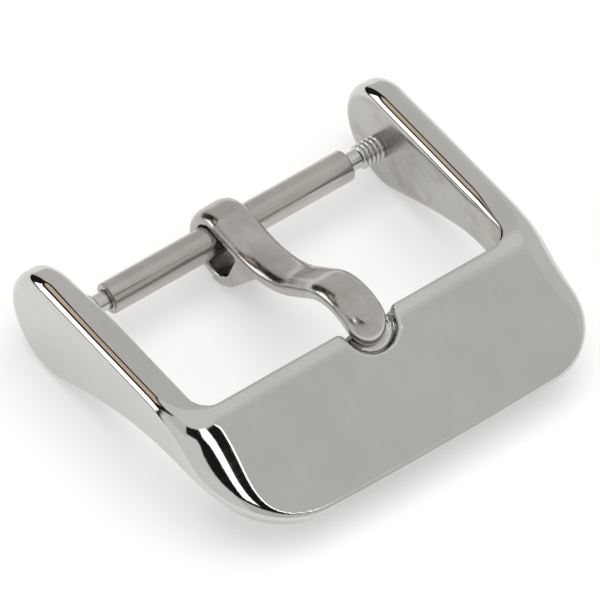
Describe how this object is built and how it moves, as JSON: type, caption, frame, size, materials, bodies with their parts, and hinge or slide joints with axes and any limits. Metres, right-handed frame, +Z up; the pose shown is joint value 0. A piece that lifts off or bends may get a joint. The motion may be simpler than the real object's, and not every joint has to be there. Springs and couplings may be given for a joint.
{
  "type": "watch strap buckle",
  "caption": "Polished steel tang buckle for a watch strap: U frame with lobed ears and a sloping notched front plate, bent tang with open eye, sprung strap bar.",
  "frame": {"origin": "middle of the spring bar's axis, halfway between the ears", "axes": "+X along the bar, -Y towards the front plate, +Z up, away from the wrist"},
  "size_m": [0.0238, 0.0212, 0.0076],
  "materials": {
    "polished_steel": "mirror-polished stainless steel",
    "satin_steel": "tumbled satin stainless steel with fine grain",
    "barrel_steel": "drawn stainless tube, soft sheen with fine lengthwise lines",
    "plunger_steel": "turned bright stainless steel",
    "spring_wire": "drawn spring wire"
  },
  "bodies": {
    "frame": {"buckle_frame": "polished_steel"},
    "bar": {"bar_tube": "barrel_steel", "bar_spring": "spring_wire"},
    "left_plunger": {"left_plunger": "plunger_steel"},
    "right_plunger": {"right_plunger": "plunger_steel"},
    "tang": {"tang": "satin_steel"}
  },
  "joints": [
    {"name": "bar_spin", "type": "hinge", "parent": "frame", "child": "bar", "pos_m": [0, 0, 0], "axis": [1, 0, 0], "continuous": true},
    {"name": "left_plunger_press", "type": "slide", "parent": "bar", "child": "left_plunger", "axis": [1, 0, 0], "range_m": [0, 0.00075], "stiffness_N_per_m": 2000, "springref_m": -0.0004, "deforming": ["bar_spring"]},
    {"name": "right_plunger_press", "type": "slide", "parent": "bar", "child": "right_plunger", "axis": [-1, 0, 0], "range_m": [0, 0.00075], "stiffness_N_per_m": 2000, "springref_m": -0.0004, "deforming": ["bar_spring"]},
    {"name": "tang_swing", "type": "hinge", "parent": "frame", "child": "tang", "pos_m": [0, 0, 0], "axis": [-1, 0, 0], "range_deg": [0, 165]}
  ]
}
